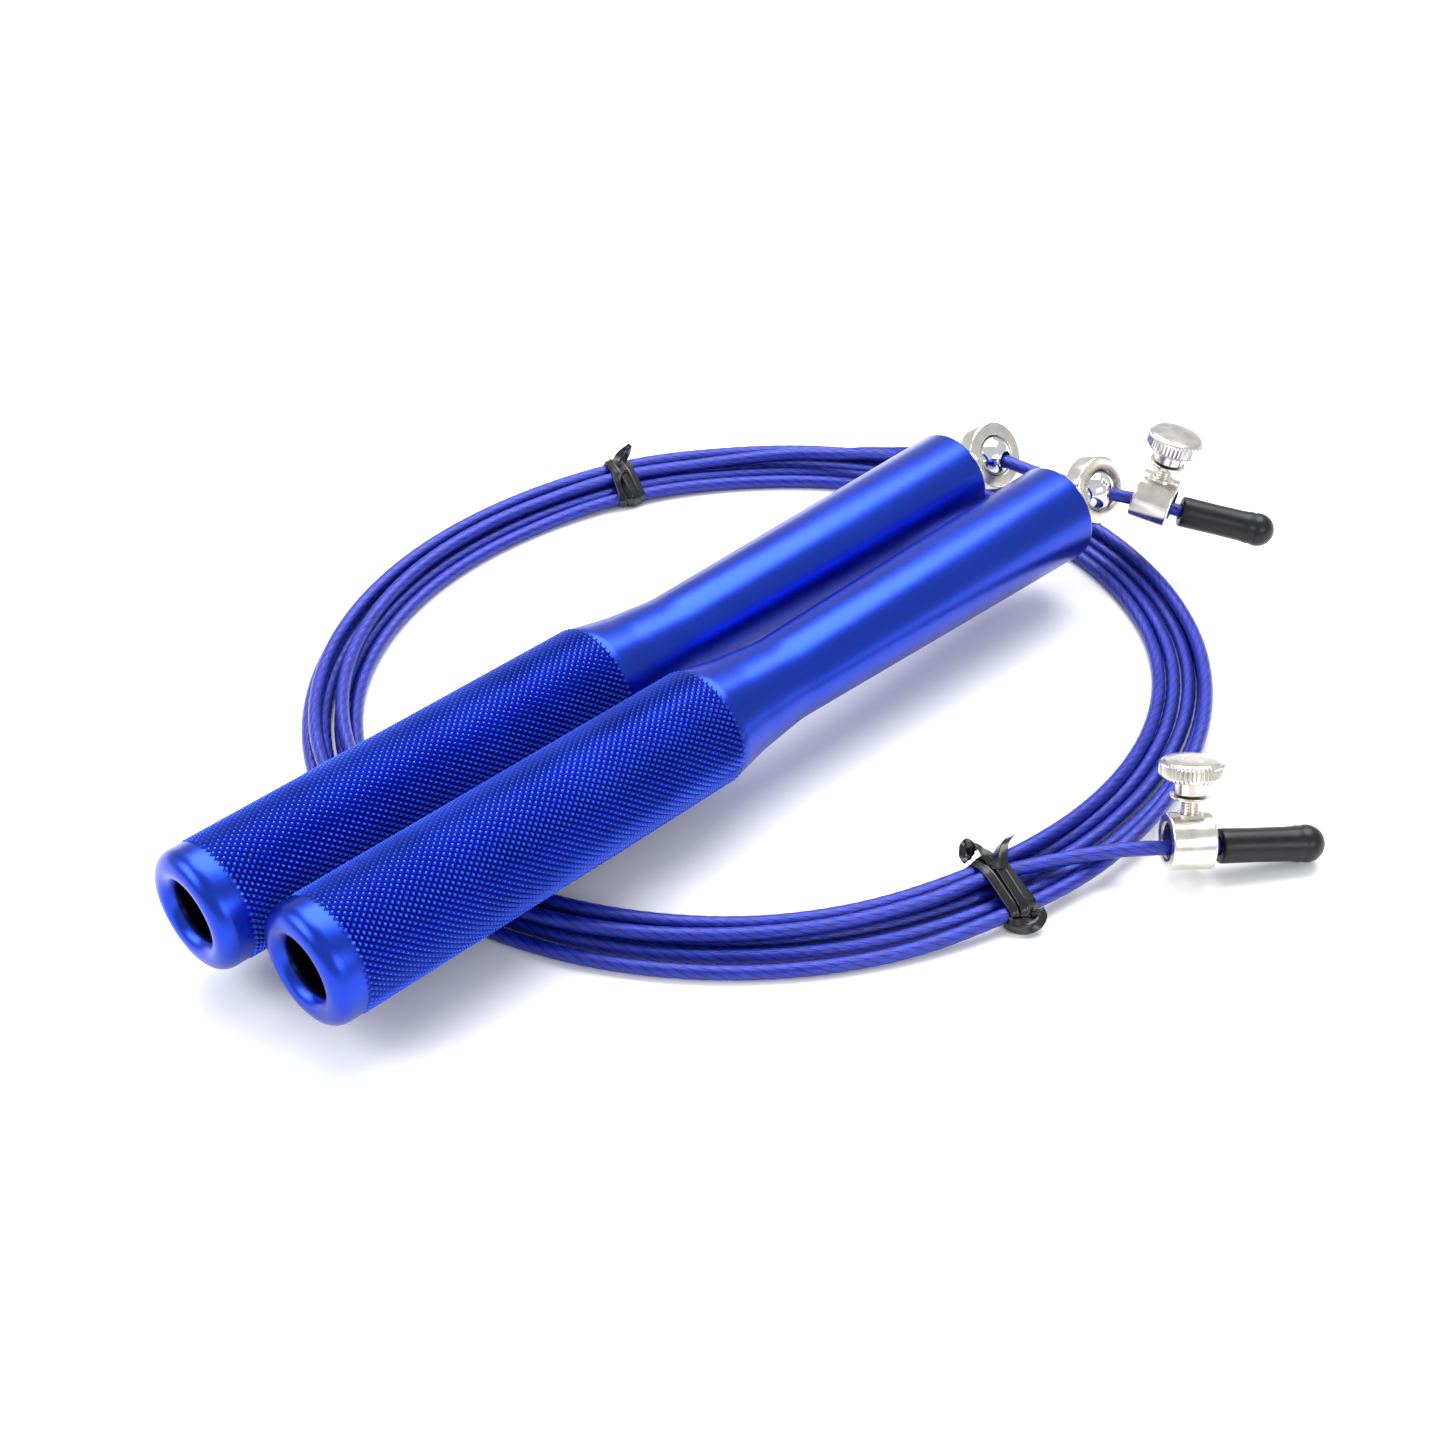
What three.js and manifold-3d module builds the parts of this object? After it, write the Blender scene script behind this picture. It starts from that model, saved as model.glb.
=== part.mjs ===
// A speed jump rope at rest: two aluminium handles lying side by side on a tied coil of coated steel cable.
// Millimetres, +Z up, floor at z = 0. The handles lie along +X, grip end first. Each handle turns on two
// ball bearings about the stem of a swivel ring, and the ball in that ring is threaded on the cable.
import * as THREE from "three";
import { mergeVertices } from "three/addons/utils/BufferGeometryUtils.js";
import Module from "manifold-3d";

const wasm = await Module();
wasm.setup();

// ---- Driving dimensions ----

const GAP = 0.3; // air kept between two pieces that touch on the real object

const CABLE_D = 2.5;
const CABLE_R = CABLE_D / 2;

const HANDLE = {
  length: 170.8,
  gripRadius: 10.2,
  mouthRound: 2.3, // how far the rounding from the bore to the end face reaches out
  mouthDepth: 3, // and in
  lipLength: 4.9,
  lipRadius: 9.9,
  gripEnd: 81.3,
  shoulder: [9.8, 81.8], // [radius, distance from the grip end] where the taper starts, changes slope and ends
  taperBreak: [8.6, 88.3],
  waist: [7.5, 98.3],
  tipRadius: 9.1,
  boreRadius: 5,
  chamfer: 0.4,
};

const BEARING = {
  bore: 2.5,
  outer: 6.5,
  width: 4,
  innerLand: 3.9,
  outerLand: 5.5,
  groove: 0.35,
  ballRadius: 0.85,
  balls: 7,
};
const SEAT = { depth: 22, radius: BEARING.outer + GAP }; // counterbore in the tip that holds both bearings
// Where each bearing's inner side is, from the grip end.
const FRONT_BEARING = HANDLE.length - 0.5 - BEARING.width;
const REAR_BEARING = HANDLE.length - SEAT.depth + GAP;
const STEM_START = REAR_BEARING - 0.6; // the swivel's stem ends just past the inner bearing

const SWIVEL = {
  ballRadius: 4,
  ballHole: 1.7,
  ringRadius: 6.4,
  ringWidth: 3.8,
  reach: 11.2, // from the tip face of the handle to the centre of the ball
  neckRadius: 3.1,
  stemRadius: BEARING.bore - GAP,
};

const RETAINER = {
  threadRadius: 1.25,
  headRadius: 2.5,
  headHeight: 1.8,
  grip: 6,
  slot: 0.6,
  washerRadius: 4.6,
  washer: 0.8,
};

const COLLAR = { outer: 4.65, bore: 3, length: 7.2 };
const CABLE_DROP = COLLAR.bore - CABLE_R - 2 * GAP; // the cable lies this far below the collar's centre
const STOP_YAW = { long_end: -14, short_end: 0 }; // degrees that each stop is turned from the cable's line
const STOP_ROLL = { long_end: -6, short_end: -24 }; // and rolled about it
const RING_ROLL = { front: 20, rear: 32 }; // degrees that each swivel ring is rolled about its handle's axis
const SCREW = {
  threadRadius: 1.5,
  headRadius: 5.2,
  headHeight: 3.4,
  neckRadius: 2.7,
  neckHeight: 2.3,
  shoulderRadius: 3.3,
  shoulderHeight: 0.5,
  lift: 2.6, // bare thread showing between the collar and the shoulder
  teeth: 36,
};
const CAP = { radius: 2.85, tipRadius: 3.15, length: 18, depth: 14.8 };

const COIL = {
  centre: [17.85, 1.5],
  radius: 72.2,
  width: 12,
  bottom: 0.8,
  top: 5.4,
  stretch: [1.063, 0.938], // the coil lies a little oval
  turn: -24, // degrees, the long way of the oval
};
const TIE = { thickness: 0.5, width: 4, stubHeight: 3.6, stubWidth: 1.8 };
const REAR_TIE_ANGLE = 69.5; // degrees round the coil
const FRONT_TIE_ANGLE = -101;

const AXIS_HEIGHT = COIL.top + GAP + HANDLE.gripRadius; // the grips lie on the coil
const HANDLE_SPACING = 2 * HANDLE.gripRadius + 0.6;
const FRONT_Y = -14.1;
const REAR_Y = FRONT_Y + HANDLE_SPACING;
const FRONT_BALL_X = 89.45;
const REAR_LAG = 5.1; // the rear handle lies this much further back
const FRONT_X = FRONT_BALL_X - SWIVEL.reach - HANDLE.length;
const REAR_X = FRONT_X - REAR_LAG;

const frontBall = new THREE.Vector3(FRONT_BALL_X, FRONT_Y, AXIS_HEIGHT);
const rearBall = new THREE.Vector3(FRONT_BALL_X - REAR_LAG, REAR_Y, AXIS_HEIGHT);

// The cable's loose ends, as points along the centreline. The long end climbs off the coil, runs through both
// balls and droops to its cap. The short end slides off the coil to the floor.
const LONG_END = [
  [78.3, 34.2, 6.95],
  [80.7, 28, 8.7],
  [82.9, 17.5, 12.7],
  rearBall.toArray(),
  [86.5, -4, 15.95],
  frontBall.toArray(),
  [96.2, -23.9, 14.3],
  [98.8, -27.8, 13.3],
  [103.1, -33.1, 11.9],
  [107.5, -38.6, 10.5],
];
const SHORT_END = [
  [26.2, -76.6, 5.8],
  [32.2, -81.7, 5.6],
  [35.9, -84.2, 5.2],
  [41.7, -88.3, 4.45],
  [47.5, -92.3, 3.7],
];
const curveThrough = (points) => {
  const vectors = points.map((p) => new THREE.Vector3(...p));
  return new THREE.CatmullRomCurve3(vectors, false, "centripetal");
};
const longRoute = curveThrough(LONG_END);
const shortRoute = curveThrough(SHORT_END);

// ---- Materials ----

function paint(color, roughness, metalness) {
  return new THREE.MeshStandardMaterial({ color, roughness, metalness });
}

const blueAluminium = () => paint(0x1c35c4, 0.35, 0.85);
const nickel = () => paint(0xc9c6bd, 0.25, 0.9);
const chrome = () => paint(0xe2e2e2, 0.08, 1);
const bearingSteel = () => paint(0xb4b6b8, 0.3, 0.95);
const brass = () => paint(0xb99a4f, 0.35, 0.9);
const blueCable = () => paint(0x1626c8, 0.3, 0.1);
const blackVinyl = () => paint(0x141416, 0.5, 0);
const blackTie = () => paint(0x101012, 0.4, 0);

// ---- Shape helpers ----

/** A body turned about +X. Points are [radius, x]: forward along the outside, back along the bore. */
function turned(points, segments = 24) {
  const profile = points.map(([radius, x]) => new THREE.Vector2(Math.max(radius, 0), x));
  return new THREE.LatheGeometry(profile, segments).rotateZ(-Math.PI / 2);
}

/** A turned ring between two radii, from x0 to x1. */
function ring(inner, outer, x0, x1, segments = 24) {
  return turned([[inner, x0], [outer, x0], [outer, x1], [inner, x1], [inner, x0]], segments);
}

/** A turned rod from x0 to x1. */
function rod(radius, x0, x1, segments = 24) {
  return turned([[0, x0], [radius, x0], [radius, x1], [0, x1]], segments);
}

/** Points on an arc in a profile's plane, between two angles in degrees. */
function arc(centreRadius, centreX, radius, from, to, steps) {
  const points = [];
  for (let i = 0; i <= steps; i++) {
    const angle = THREE.MathUtils.degToRad(from + ((to - from) * i) / steps);
    points.push([centreRadius + radius * Math.cos(angle), centreX + radius * Math.sin(angle)]);
  }
  return points;
}

/** A closed geometry as a manifold solid. */
function solid(geometry) {
  const bare = geometry.clone();
  bare.deleteAttribute("normal");
  bare.deleteAttribute("uv");
  const merged = mergeVertices(bare, 1e-4);
  const index = Array.from(merged.index.array);
  const triangles = [];
  for (let i = 0; i < index.length; i += 3) {
    const [a, b, c] = index.slice(i, i + 3);
    if (a !== b && b !== c && c !== a) {
      triangles.push(a, b, c);
    }
  }
  return new wasm.Manifold(
    new wasm.Mesh({
      numProp: 3,
      vertProperties: new Float32Array(merged.attributes.position.array),
      triVerts: new Uint32Array(triangles),
    }),
  );
}

/** A manifold solid as a geometry with flat faces. */
function geometryOf(manifold) {
  const { vertProperties, triVerts } = manifold.getMesh();
  const indexed = new THREE.BufferGeometry();
  indexed.setAttribute("position", new THREE.BufferAttribute(new Float32Array(vertProperties), 3));
  indexed.setIndex(new THREE.BufferAttribute(new Uint32Array(triVerts), 1));
  const geometry = indexed.toNonIndexed();
  geometry.computeVertexNormals();
  return geometry;
}

/** One piece from the union of some geometries, with others cut out of it. */
function shaped(added, cut = []) {
  let body = solid(added[0]);
  for (const extra of added.slice(1)) {
    body = body.add(solid(extra));
  }
  for (const hole of cut) {
    body = body.subtract(solid(hole));
  }
  return geometryOf(body);
}

function piece(name, geometry, material) {
  const mesh = new THREE.Mesh(geometry, material);
  mesh.name = name;
  return mesh;
}

/** A polygonal section swept along a curve. */
function swept(curve, radius, sides, steps) {
  const section = new THREE.Shape();
  for (let i = 0; i <= sides; i++) {
    const angle = (2 * Math.PI * i) / sides;
    const [x, y] = [radius * Math.cos(angle), radius * Math.sin(angle)];
    if (i === 0) {
      section.moveTo(x, y);
    } else if (i < sides) {
      section.lineTo(x, y);
    }
  }
  return new THREE.ExtrudeGeometry(section, { steps, extrudePath: curve, bevelEnabled: false });
}

/** Places pieces made along +X at a distance along a route, turned from its line and rolled about it. */
function alongRoute(route, distance, { yaw, roll }, ...meshes) {
  const at = distance / route.getLength();
  const place = new THREE.Group();
  place.position.copy(route.getPointAt(at));
  const forward = route.getTangentAt(at);
  const side = new THREE.Vector3(0, 0, 1).cross(forward).normalize();
  const up = forward.clone().cross(side);
  place.quaternion.setFromRotationMatrix(new THREE.Matrix4().makeBasis(forward, side, up));
  place.rotateZ(THREE.MathUtils.degToRad(yaw));
  place.rotateX(THREE.MathUtils.degToRad(roll));
  place.add(...meshes);
  return place;
}

/** Places a cap on the straight last stretch of a route. */
function straightCap(route, mesh) {
  const end = route.getPointAt(1);
  const forward = end.clone().sub(route.points.at(-3)).normalize();
  mesh.quaternion.setFromUnitVectors(new THREE.Vector3(1, 0, 0), forward);
  mesh.position.copy(end).addScaledVector(forward, -CABLE_IN_CAP);
  return mesh;
}

// ---- Handle and what it holds ----

/** The one-piece handle: lip, grip, taper and tube outside, and an open bore with the bearings' counterbore. */
function handleBody() {
  const { length, boreRadius, mouthRound, mouthDepth, lipLength, lipRadius, gripRadius, gripEnd } = HANDLE;
  const { shoulder, taperBreak, waist, tipRadius } = HANDLE;
  const lipRound = lipRadius - boreRadius - mouthRound;
  const mouth = arc(boreRadius + mouthRound, mouthRound, mouthRound, 180, 270, 4);
  const outside = [
    ...mouth.map(([radius, x]) => [radius, (x * mouthDepth) / mouthRound]),
    ...arc(lipRadius - lipRound, lipRound, lipRound, -90, 0, 5),
    [lipRadius, lipLength],
    [gripRadius, lipLength + 0.3],
    [gripRadius, gripEnd],
    shoulder,
    taperBreak,
    waist,
    [tipRadius, length - HANDLE.chamfer],
    [tipRadius - HANDLE.chamfer, length],
  ];
  const inside = [
    [SEAT.radius, length],
    [SEAT.radius, length - SEAT.depth],
    [boreRadius, length - SEAT.depth],
    [boreRadius, mouthDepth],
  ];
  return turned([...outside, ...inside], 36);
}

/** Profile points of a ball groove in a land at some radius, deeper towards +1 or -1, from x0 to x1. */
function groove(land, deeper, x0, x1) {
  const half = BEARING.ballRadius * 0.9;
  const mid = (x0 + x1) / 2;
  const depth = deeper * BEARING.groove;
  const points = [
    [land, mid - half],
    [land + depth * 0.8, mid - half / 2],
    [land + depth, mid],
    [land + depth * 0.8, mid + half / 2],
    [land, mid + half],
  ];
  return x0 < x1 ? points : points.reverse();
}

function innerRace(x0) {
  const x1 = x0 + BEARING.width;
  const land = BEARING.innerLand;
  const lands = [[land, x0], ...groove(land, -1, x0, x1), [land, x1]];
  return turned([[BEARING.bore, x0], ...lands, [BEARING.bore, x1], [BEARING.bore, x0]], 20);
}

function outerRace(x0) {
  const x1 = x0 + BEARING.width;
  const land = BEARING.outerLand;
  const lands = [[land, x1], ...groove(land, 1, x0, x1).reverse(), [land, x0]];
  return turned([[BEARING.outer, x0], [BEARING.outer, x1], ...lands, [BEARING.outer, x0]], 20);
}

/** The balls of one bearing and the cage ring that spaces them. */
function ballCage(x0) {
  const pitchRadius = (BEARING.innerLand + BEARING.outerLand) / 2;
  const mid = x0 + BEARING.width / 2;
  const parts = [ring(pitchRadius - 0.35, pitchRadius + 0.35, mid - 0.5, mid + 0.5, 28)];
  for (let i = 0; i < BEARING.balls; i++) {
    const angle = (2 * Math.PI * i) / BEARING.balls;
    const ball = new THREE.SphereGeometry(BEARING.ballRadius, 8, 5);
    parts.push(ball.translate(mid, pitchRadius * Math.cos(angle), pitchRadius * Math.sin(angle)));
  }
  return shaped(parts);
}

/** The swivel ring with its neck and the stem that the bearings sit on, the ring rolled some degrees. */
function swivelRing(roll) {
  const { ringRadius, ringWidth, ballRadius, neckRadius, stemRadius, reach } = SWIVEL;
  const { length } = HANDLE;
  const half = ringWidth / 2;
  const seat = ballRadius + GAP;
  const mouth = Math.acos(half / seat) * THREE.MathUtils.RAD2DEG;
  const seatArc = arc(0, 0, seat, 90 - mouth, mouth - 90, 6);
  const edge = 0.7;
  const profile = [
    [ringRadius - edge, -half],
    [ringRadius, edge - half],
    [ringRadius, half - edge],
    [ringRadius - edge, half],
    ...seatArc,
    [ringRadius - edge, -half],
  ];
  const band = new THREE.LatheGeometry(profile.map(([r, y]) => new THREE.Vector2(r, y)), 36);
  band.rotateX(THREE.MathUtils.degToRad(-roll)).translate(length + reach, 0, 0);
  const neckStart = FRONT_BEARING + BEARING.width + GAP;
  const neckEnd = length + reach - seat - 0.4;
  const neck = rod(neckRadius, neckStart, neckEnd, 20);
  const stem = rod(stemRadius, STEM_START, neckStart + 1, 20);
  const screwHole = rod(RETAINER.threadRadius + GAP, STEM_START - 1, STEM_START + RETAINER.grip + 1, 16);
  return shaped([band, neck, stem], [screwHole]);
}

function swivelBall() {
  const { ballRadius, ballHole } = SWIVEL;
  const ball = new THREE.SphereGeometry(ballRadius, 24, 14);
  const hole = new THREE.CylinderGeometry(ballHole, ballHole, 3 * ballRadius, 16);
  return shaped([ball], [hole]);
}

/** The screw in the stem's inner end, with a cross slot in its head. */
function retainingScrew(washerFace) {
  const { threadRadius, headRadius, headHeight, grip } = RETAINER;
  const head = rod(headRadius, washerFace - headHeight, washerFace, 20);
  const shank = rod(threadRadius, washerFace - 0.2, washerFace + RETAINER.washer + grip, 16);
  const reach = 1.3 * headRadius;
  const cross = [[reach, RETAINER.slot], [RETAINER.slot, reach]];
  const slots = cross.map((size) => new THREE.BoxGeometry(1.2, ...size));
  return shaped([head, shank], slots.map((slot) => slot.translate(washerFace - headHeight, 0, 0)));
}

/** One handle with its bearings, swivel and fasteners. The ball's hole follows the cable's direction. */
function handle(prefix, x, y, cableDirection) {
  const group = new THREE.Group();
  group.position.set(x, y, AXIS_HEIGHT);
  group.add(piece(`${prefix}_handle_body`, handleBody(), blueAluminium()));
  for (const [name, x0] of [["tip_bearing", FRONT_BEARING], ["inner_bearing", REAR_BEARING]]) {
    group.add(piece(`${prefix}_${name}_outer_race`, outerRace(x0), bearingSteel()));
    group.add(piece(`${prefix}_${name}_inner_race`, innerRace(x0), bearingSteel()));
    group.add(piece(`${prefix}_${name}_ball_cage`, ballCage(x0), bearingSteel()));
  }
  const spacerStart = REAR_BEARING + BEARING.width + GAP;
  const spacer = ring(BEARING.bore, BEARING.bore + 0.9, spacerStart, FRONT_BEARING - GAP, 20);
  group.add(piece(`${prefix}_bearing_spacer`, spacer, brass()));
  const washerFace = STEM_START - GAP - RETAINER.washer;
  const washerHole = RETAINER.threadRadius + GAP;
  const washer = ring(washerHole, RETAINER.washerRadius, washerFace, washerFace + RETAINER.washer);
  group.add(piece(`${prefix}_retaining_washer`, washer, nickel()));
  group.add(piece(`${prefix}_retaining_screw`, retainingScrew(washerFace - GAP), nickel()));
  group.add(piece(`${prefix}_swivel_ring`, swivelRing(RING_ROLL[prefix]), nickel()));
  const ball = piece(`${prefix}_swivel_ball`, swivelBall(), chrome());
  ball.position.set(HANDLE.length + SWIVEL.reach, 0, 0);
  ball.quaternion.setFromUnitVectors(new THREE.Vector3(0, 1, 0), cableDirection);
  group.add(ball);
  return group;
}

// ---- Rope stops ----

/** The ring that a thumb screw clamps on the cable. The cable lies low in its bore. */
function stopCollar() {
  const { outer, bore, length } = COLLAR;
  const edge = 0.5;
  const profile = [
    [bore + edge, -length / 2],
    [outer - edge, -length / 2],
    [outer, edge - length / 2],
    [outer, length / 2 - edge],
    [outer - edge, length / 2],
    [bore + edge, length / 2],
    [bore, length / 2 - edge],
    [bore, edge - length / 2],
    [bore + edge, -length / 2],
  ];
  const hole = new THREE.CylinderGeometry(SCREW.threadRadius + GAP, SCREW.threadRadius + GAP, 2 * outer, 20);
  hole.rotateX(Math.PI / 2).translate(0, 0, outer);
  return shaped([turned(profile, 32)], [hole]);
}

/** The screw's threaded stud with its shoulder, standing on the cable. */
function screwStud(foot) {
  const base = COLLAR.outer + SCREW.lift;
  const { threadRadius, shoulderRadius, shoulderHeight } = SCREW;
  const post = 1.1;
  const top = base + shoulderHeight + GAP + SCREW.neckHeight + SCREW.headHeight / 2;
  const profile = [
    [0, foot],
    [threadRadius - 0.4, foot],
    [threadRadius, foot + 0.4],
    [threadRadius, base],
    [shoulderRadius, base],
    [shoulderRadius, base + shoulderHeight],
    [post, base + shoulderHeight],
    [post, top],
    [0, top],
  ];
  return turned(profile, 20).rotateY(-Math.PI / 2);
}

/** The knurled head on its neck, with straight teeth round the rim. */
function screwHead() {
  const { headRadius, headHeight, neckRadius, neckHeight, teeth } = SCREW;
  const base = COLLAR.outer + SCREW.lift + SCREW.shoulderHeight + GAP;
  const rim = new THREE.Shape();
  for (let i = 0; i < 2 * teeth; i++) {
    const angle = (Math.PI * i) / teeth;
    const radius = i % 2 ? headRadius - 0.35 : headRadius;
    const [x, y] = [radius * Math.cos(angle), radius * Math.sin(angle)];
    if (i === 0) {
      rim.moveTo(x, y);
    } else {
      rim.lineTo(x, y);
    }
  }
  const disc = new THREE.ExtrudeGeometry(rim, { depth: headHeight, bevelEnabled: false, steps: 1 });
  disc.translate(0, 0, base + neckHeight);
  const neck = rod(neckRadius, base, base + neckHeight + 0.5, 24).rotateY(-Math.PI / 2);
  const post = rod(1.1 + GAP, base - 1, base + neckHeight + headHeight / 2 + GAP, 16).rotateY(-Math.PI / 2);
  return shaped([disc, neck], [post]);
}

/** A cable stop: collar, stud and head, with the cable low in the collar's bore. */
function ropeStop(prefix) {
  const collar = piece(`${prefix}_stop_collar`, stopCollar(), nickel());
  const stud = piece(`${prefix}_thumb_screw_stud`, screwStud(CABLE_R + GAP - CABLE_DROP), nickel());
  const head = piece(`${prefix}_thumb_screw_head`, screwHead(), nickel());
  const meshes = [collar, stud, head];
  for (const mesh of meshes) {
    mesh.position.z = CABLE_DROP;
  }
  return meshes;
}

/** The cap pushed over the cable's end: a sleeve with a slightly fuller round tip. Its mouth is at x = 0. */
function endCap() {
  const { radius, tipRadius, length, depth } = CAP;
  const outside = turned([
    [0, 0],
    [radius - 0.3, 0],
    [radius, 0.4],
    [radius, length - 2 * tipRadius],
    ...arc(0, length - tipRadius, tipRadius, -30, 90, 6),
  ]);
  return shaped([outside], [rod(CABLE_R + GAP, -1, depth, 16)]);
}

// ---- Cable coil and its ties ----

function coil() {
  const { radius, width, bottom, top, stretch, turn } = COIL;
  const half = width / 2;
  const round = 1.9;
  const corner = (r, z, from) => arc(r, z, round, from, from + 90, 2);
  const profile = [
    ...corner(radius + half - round, bottom + round, -90),
    ...corner(radius + half - round, top - round, 0),
    ...corner(radius - half + round, top - round, 90),
    ...corner(radius - half + round, bottom + round, 180),
  ];
  profile.push(profile[0]);
  const body = new THREE.LatheGeometry(profile.map(([r, z]) => new THREE.Vector2(r, z)), 64);
  body.rotateX(Math.PI / 2).scale(stretch[0], stretch[1], 1);
  return body.rotateZ(THREE.MathUtils.degToRad(turn)).translate(...COIL.centre, 0);
}

/** A band round the bundle with the two twisted ends standing on top of it. It is made across +X. */
function twistTie() {
  const { thickness, width, stubHeight, stubWidth } = TIE;
  const inner = [(COIL.width * COIL.stretch[0]) / 2 + GAP, (COIL.top - COIL.bottom) / 2 + GAP];
  const outer = inner.map((half) => half + thickness);
  const roundBox = ([a, b], path) => {
    const r = b * 0.8;
    path.moveTo(r - a, -b);
    path.lineTo(a - r, -b);
    path.absarc(a - r, r - b, r, -Math.PI / 2, 0);
    path.absarc(a - r, b - r, r, 0, Math.PI / 2);
    path.absarc(r - a, b - r, r, Math.PI / 2, Math.PI);
    path.absarc(r - a, r - b, r, Math.PI, 1.5 * Math.PI);
    return path;
  };
  const shape = roundBox(outer, new THREE.Shape());
  shape.holes.push(roundBox(inner, new THREE.Path()));
  const extrusion = { depth: width, bevelEnabled: false, steps: 1, curveSegments: 4 };
  const band = new THREE.ExtrudeGeometry(shape, extrusion);
  band.translate(0, 0, -width / 2);
  const stubs = [-1, 1].map((side) => {
    const stub = new THREE.BoxGeometry(stubWidth, stubHeight + thickness, 1);
    stub.rotateZ(side * 0.5).rotateY(side * 0.4);
    return stub.translate(-side * 0.9, outer[1] + stubHeight / 2, side * 0.6);
  });
  return shaped([band, ...stubs]).rotateX(Math.PI / 2).translate(0, 0, (COIL.bottom + COIL.top) / 2);
}

/** A tie placed round the coil's bundle at an angle about the coil's centre. */
function placedTie(name, degrees) {
  const tie = piece(name, twistTie(), blackTie());
  const angle = THREE.MathUtils.degToRad(degrees);
  const inOval = angle - THREE.MathUtils.degToRad(COIL.turn);
  const oval = COIL.stretch.map((s) => s * COIL.radius);
  const reach = 1 / Math.hypot(Math.cos(inOval) / oval[0], Math.sin(inOval) / oval[1]);
  tie.position.set(COIL.centre[0] + reach * Math.cos(angle), COIL.centre[1] + reach * Math.sin(angle), 0);
  tie.rotation.z = angle;
  return tie;
}

// ---- Assembly ----

/** The unit direction of a route where it passes closest to a point. */
function directionAt(route, point) {
  let best = 0;
  for (let t = 0; t <= 1; t += 0.001) {
    if (route.getPointAt(t).distanceTo(point) < route.getPointAt(best).distanceTo(point)) {
      best = t;
    }
  }
  return route.getTangentAt(best);
}

const CABLE_IN_CAP = 14.2; // how far the cable's end sits inside its cap
const STOP_TO_CAP = 5.3; // from the middle of a stop to the mouth of the cap

const group = new THREE.Group();
group.name = "speed_rope";
group.add(handle("front", FRONT_X, FRONT_Y, directionAt(longRoute, frontBall)));
group.add(handle("rear", REAR_X, REAR_Y, directionAt(longRoute, rearBall)));

group.add(piece("cable_coil", coil(), blueCable()));
group.add(piece("cable_long_end", swept(longRoute, CABLE_R, 8, 30), blueCable()));
group.add(piece("cable_short_end", swept(shortRoute, CABLE_R, 8, 12), blueCable()));
group.add(placedTie("rear_twist_tie", REAR_TIE_ANGLE));
group.add(placedTie("front_twist_tie", FRONT_TIE_ANGLE));

for (const [prefix, route] of [["long_end", longRoute], ["short_end", shortRoute]]) {
  const mouth = route.getLength() - CABLE_IN_CAP;
  const turn = { yaw: STOP_YAW[prefix], roll: STOP_ROLL[prefix] };
  group.add(alongRoute(route, mouth - STOP_TO_CAP, turn, ...ropeStop(prefix)));
  group.add(straightCap(route, piece(`${prefix}_cap`, endCap(), blackVinyl())));
}

export default group;
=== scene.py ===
"""A speed jump rope: two knurled aluminium handles lying on a tied coil of coated steel cable.

Shapes are made in millimetres, each in its own frame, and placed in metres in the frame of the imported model.
"""

import math

import bmesh
import bpy
import numpy as np
from mathutils import Matrix, Vector


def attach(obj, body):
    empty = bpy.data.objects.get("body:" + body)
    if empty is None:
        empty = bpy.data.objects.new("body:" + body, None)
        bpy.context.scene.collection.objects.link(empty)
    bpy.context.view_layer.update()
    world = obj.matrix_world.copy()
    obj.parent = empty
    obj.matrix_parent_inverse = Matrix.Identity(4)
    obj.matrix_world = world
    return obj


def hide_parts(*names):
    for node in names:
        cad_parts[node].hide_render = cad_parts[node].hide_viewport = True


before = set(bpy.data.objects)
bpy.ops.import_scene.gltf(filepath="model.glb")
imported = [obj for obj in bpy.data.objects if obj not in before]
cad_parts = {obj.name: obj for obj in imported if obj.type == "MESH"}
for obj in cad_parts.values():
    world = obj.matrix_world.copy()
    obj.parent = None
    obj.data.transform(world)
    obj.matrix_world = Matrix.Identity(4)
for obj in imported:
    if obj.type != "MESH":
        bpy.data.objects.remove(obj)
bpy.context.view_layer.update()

MM = 0.001

# ---- Camera ----

CAMERA_AT = (-0.2125, -0.2259, 0.2531)
LOOKS_AT = (0.0051, -0.0015, 0.0)
LENS = 57.3  # mm, on a 36 mm sensor


def add_camera():
    data = bpy.data.cameras.new("camera")
    data.lens = LENS
    data.sensor_width = 36
    data.clip_start = 0.01
    camera = bpy.data.objects.new("camera", data)
    bpy.context.scene.collection.objects.link(camera)
    camera.location = CAMERA_AT
    sight = Vector(LOOKS_AT) - Vector(CAMERA_AT)
    camera.rotation_euler = sight.to_track_quat("-Z", "Y").to_euler()
    bpy.context.scene.camera = camera


add_camera()

# ---- Dimensions, in millimetres ----

CABLE_D = 2.5
AXIS_HEIGHT = 15.9
HANDLES = {"front": (-92.55, -14.1), "rear": (-97.65, 6.9)}  # where each grip end is, x and y
HANDLE_LENGTH = 170.8
REACH = 11.2  # from the tip of a handle to the middle of its ball

LONG_END = [
    (78.3, 34.2, 6.95),
    (80.7, 28, 8.7),
    (82.9, 17.5, 12.7),
    (84.35, 6.9, 15.9),
    (86.5, -4, 15.95),
    (89.45, -14.1, 15.9),
    (96.2, -23.9, 14.3),
    (98.8, -27.8, 13.3),
    (103.1, -33.1, 11.9),
    (107.5, -38.6, 10.5),
]
SHORT_END = [
    (26.2, -76.6, 5.8),
    (32.2, -81.7, 5.6),
    (35.9, -84.2, 5.2),
    (41.7, -88.3, 4.45),
    (47.5, -92.3, 3.7),
]
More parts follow.
